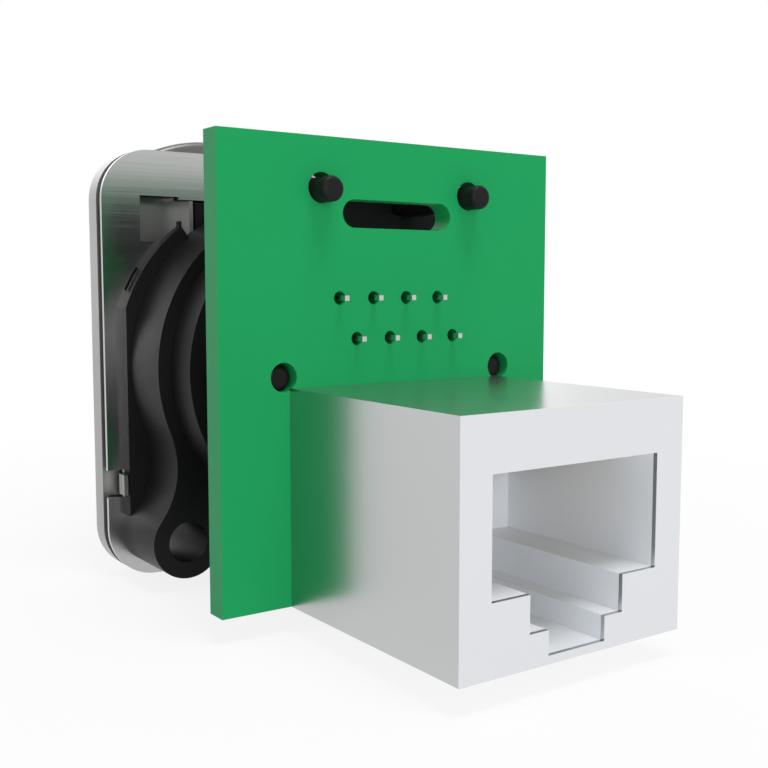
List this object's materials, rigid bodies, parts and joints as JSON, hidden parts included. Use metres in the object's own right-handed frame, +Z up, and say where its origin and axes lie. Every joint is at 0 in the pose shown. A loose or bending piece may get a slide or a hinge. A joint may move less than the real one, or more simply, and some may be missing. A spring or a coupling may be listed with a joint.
{
  "type": "ethernet panel connector",
  "caption": "Feed-through panel connector with a round latching front socket in a 26 by 31 mm flange and a shielded eight-contact jack on a rear circuit board.",
  "frame": {"origin": "centre of the flange's front face, which is also the middle between its two screw holes", "axes": "+Y from the flange to the rear jack, +Z up with the latch tab on top, +X to the right seen from the front"},
  "size_m": [0.026, 0.0466, 0.0333],
  "materials": {
    "nickel_zinc": "satin",
    "spring_steel": "satin",
    "gasket_rubber": "matte",
    "brushed_plate": "brushed",
    "black_polyamide": "semi-gloss",
    "jack_plastic": "matte",
    "tinned_sheet": "satin",
    "solder_mask_board": "semi-gloss",
    "jack_insert": "satin",
    "gold_plated_wire": "polished"
  },
  "bodies": {
    "frame": {"front_shell": "nickel_zinc", "ground_spring": "spring_steel", "flange_gasket": "gasket_rubber", "ground_plate": "brushed_plate", "rear_housing": "black_polyamide", "latch_pin": "spring_steel", "latch_spring": "spring_steel", "front_jack_body": "jack_plastic", "front_contact_carrier": "jack_plastic", "front_jack_shield": "tinned_sheet", "circuit_board": "solder_mask_board", "rear_jack_body": "jack_insert", "rear_contact_carrier": "jack_plastic", "rear_jack_shield": "tinned_sheet", "front_contact_1": "gold_plated_wire", "rear_contact_1": "gold_plated_wire", "front_contact_2": "gold_plated_wire", "rear_contact_2": "gold_plated_wire", "front_contact_3": "gold_plated_wire", "rear_contact_3": "gold_plated_wire", "front_contact_4": "gold_plated_wire", "rear_contact_4": "gold_plated_wire", "front_contact_5": "gold_plated_wire", "rear_contact_5": "gold_plated_wire", "front_contact_6": "gold_plated_wire", "rear_contact_6": "gold_plated_wire", "front_contact_7": "gold_plated_wire", "rear_contact_7": "gold_plated_wire", "front_contact_8": "gold_plated_wire", "rear_contact_8": "gold_plated_wire"},
    "latch": {"latch_lever": "nickel_zinc"}
  },
  "joints": [
    {"name": "latch_press", "type": "hinge", "parent": "frame", "child": "latch", "pos_m": [0, 0.0046, 0.00965], "axis": [1, 0, 0], "range_deg": [0, 5], "stiffness_Nm_per_rad": 0.02, "springref_deg": -8.59, "deforming": ["latch_spring"]}
  ]
}
